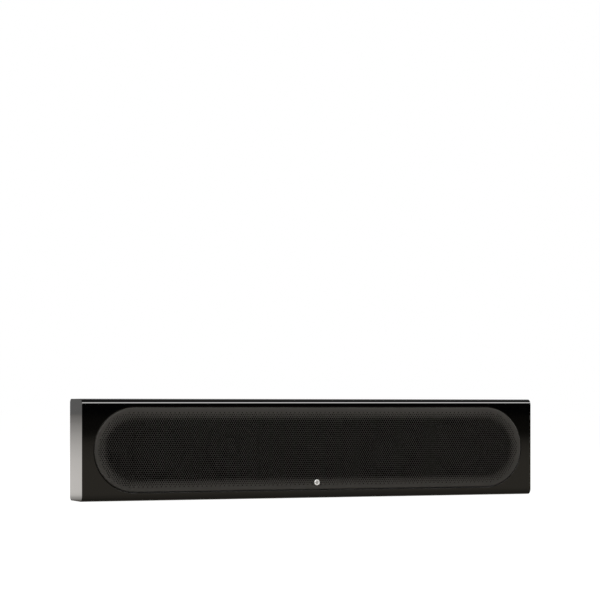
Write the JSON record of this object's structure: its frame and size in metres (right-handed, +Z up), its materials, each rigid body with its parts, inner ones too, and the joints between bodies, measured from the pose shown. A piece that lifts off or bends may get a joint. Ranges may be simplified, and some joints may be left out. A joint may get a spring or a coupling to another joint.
{
  "type": "on-wall speaker",
  "caption": "Slim horizontal on-wall loudspeaker: gloss black extruded cabinet, long round-ended perforated grille, drivers behind it, recessed terminals and keyhole hangers at the back.",
  "frame": {"origin": "middle of the flat back, on the wall plane, at half the cabinet's width and height", "axes": "+X along the cabinet's width, +Y out of the back into the wall, +Z up; the front with the grille faces -Y"},
  "size_m": [0.727, 0.0676, 0.1484],
  "materials": {
    "cabinet_lacquer": "high gloss black lacquer on extruded aluminium",
    "panel_plastic": "fine spark texture",
    "black_screw": "black oxide",
    "baffle_board": "black painted fibreboard",
    "grille_coat": "satin black powder coat",
    "peg_plastic": "moulded black",
    "socket_rubber": "moulded black",
    "badge_metal": "turned, fine satin",
    "basket_coat": "satin black cast alloy",
    "surround_rubber": "smooth moulded",
    "cone_plastic": "satin moulded",
    "spider_cloth": "resin stiffened weave",
    "copper_wire": "enamelled copper winding",
    "plated_steel": "zinc plated",
    "ferrite": "dull ground",
    "faceplate_plastic": "satin moulded",
    "dome_cloth": "doped silk",
    "board_laminate": "green solder mask",
    "capacitor_film": "wrapped film",
    "resistor_ceramic": "cast ceramic",
    "post_brass": "gold plated",
    "cap_red": "clear red moulding",
    "cap_black": "black moulding",
    "wadding": "polyester wadding"
  },
  "bodies": {
    "cabinet_body": {"cabinet": "cabinet_lacquer", "end_cap_left": "cabinet_lacquer", "end_cap_right": "cabinet_lacquer", "rear_panel": "panel_plastic", "rear_screws": "black_screw", "baffle": "baffle_board", "grille": "grille_coat", "grille_pegs": "peg_plastic", "peg_sockets": "socket_rubber", "badge": "badge_metal", "woofer_basket_left": "basket_coat", "woofer_surround_left": "surround_rubber", "woofer_cone_left": "cone_plastic", "woofer_dust_cap_left": "cone_plastic", "woofer_spider_left": "spider_cloth", "woofer_coil_left": "copper_wire", "woofer_top_plate_left": "plated_steel", "woofer_magnet_left": "ferrite", "woofer_yoke_left": "plated_steel", "woofer_basket_right": "basket_coat", "woofer_surround_right": "surround_rubber", "woofer_cone_right": "cone_plastic", "woofer_dust_cap_right": "cone_plastic", "woofer_spider_right": "spider_cloth", "woofer_coil_right": "copper_wire", "woofer_top_plate_right": "plated_steel", "woofer_magnet_right": "ferrite", "woofer_yoke_right": "plated_steel", "radiator_frame_left": "basket_coat", "radiator_surround_left": "surround_rubber", "radiator_cone_left": "cone_plastic", "radiator_weight_left": "plated_steel", "radiator_frame_right": "basket_coat", "radiator_surround_right": "surround_rubber", "radiator_cone_right": "cone_plastic", "radiator_weight_right": "plated_steel", "tweeter_faceplate": "faceplate_plastic", "tweeter_dome": "dome_cloth", "tweeter_coil": "copper_wire", "tweeter_top_plate": "plated_steel", "tweeter_magnet": "ferrite", "tweeter_yoke": "plated_steel", "driver_screws": "black_screw", "tweeter_screws": "black_screw", "crossover_board": "board_laminate", "inductors": "copper_wire", "capacitors": "capacitor_film", "resistors": "resistor_ceramic", "board_screws": "plated_steel", "terminal_cup": "panel_plastic", "post_red": "post_brass", "post_black": "post_brass", "post_nuts": "post_brass", "keyhole_plates": "plated_steel", "bracket_inserts": "post_brass", "damping_pads": "wadding"},
    "red_cap": {"post_cap_red": "cap_red"},
    "black_cap": {"post_cap_black": "cap_black"}
  },
  "joints": [
    {"name": "red_cap_turn", "type": "hinge", "parent": "cabinet_body", "child": "red_cap", "pos_m": [0.26, -0.012, 0], "axis": [0, 1, 0], "continuous": true},
    {"name": "black_cap_turn", "type": "hinge", "parent": "cabinet_body", "child": "black_cap", "pos_m": [0.23, -0.012, 0], "axis": [0, 1, 0], "continuous": true}
  ]
}
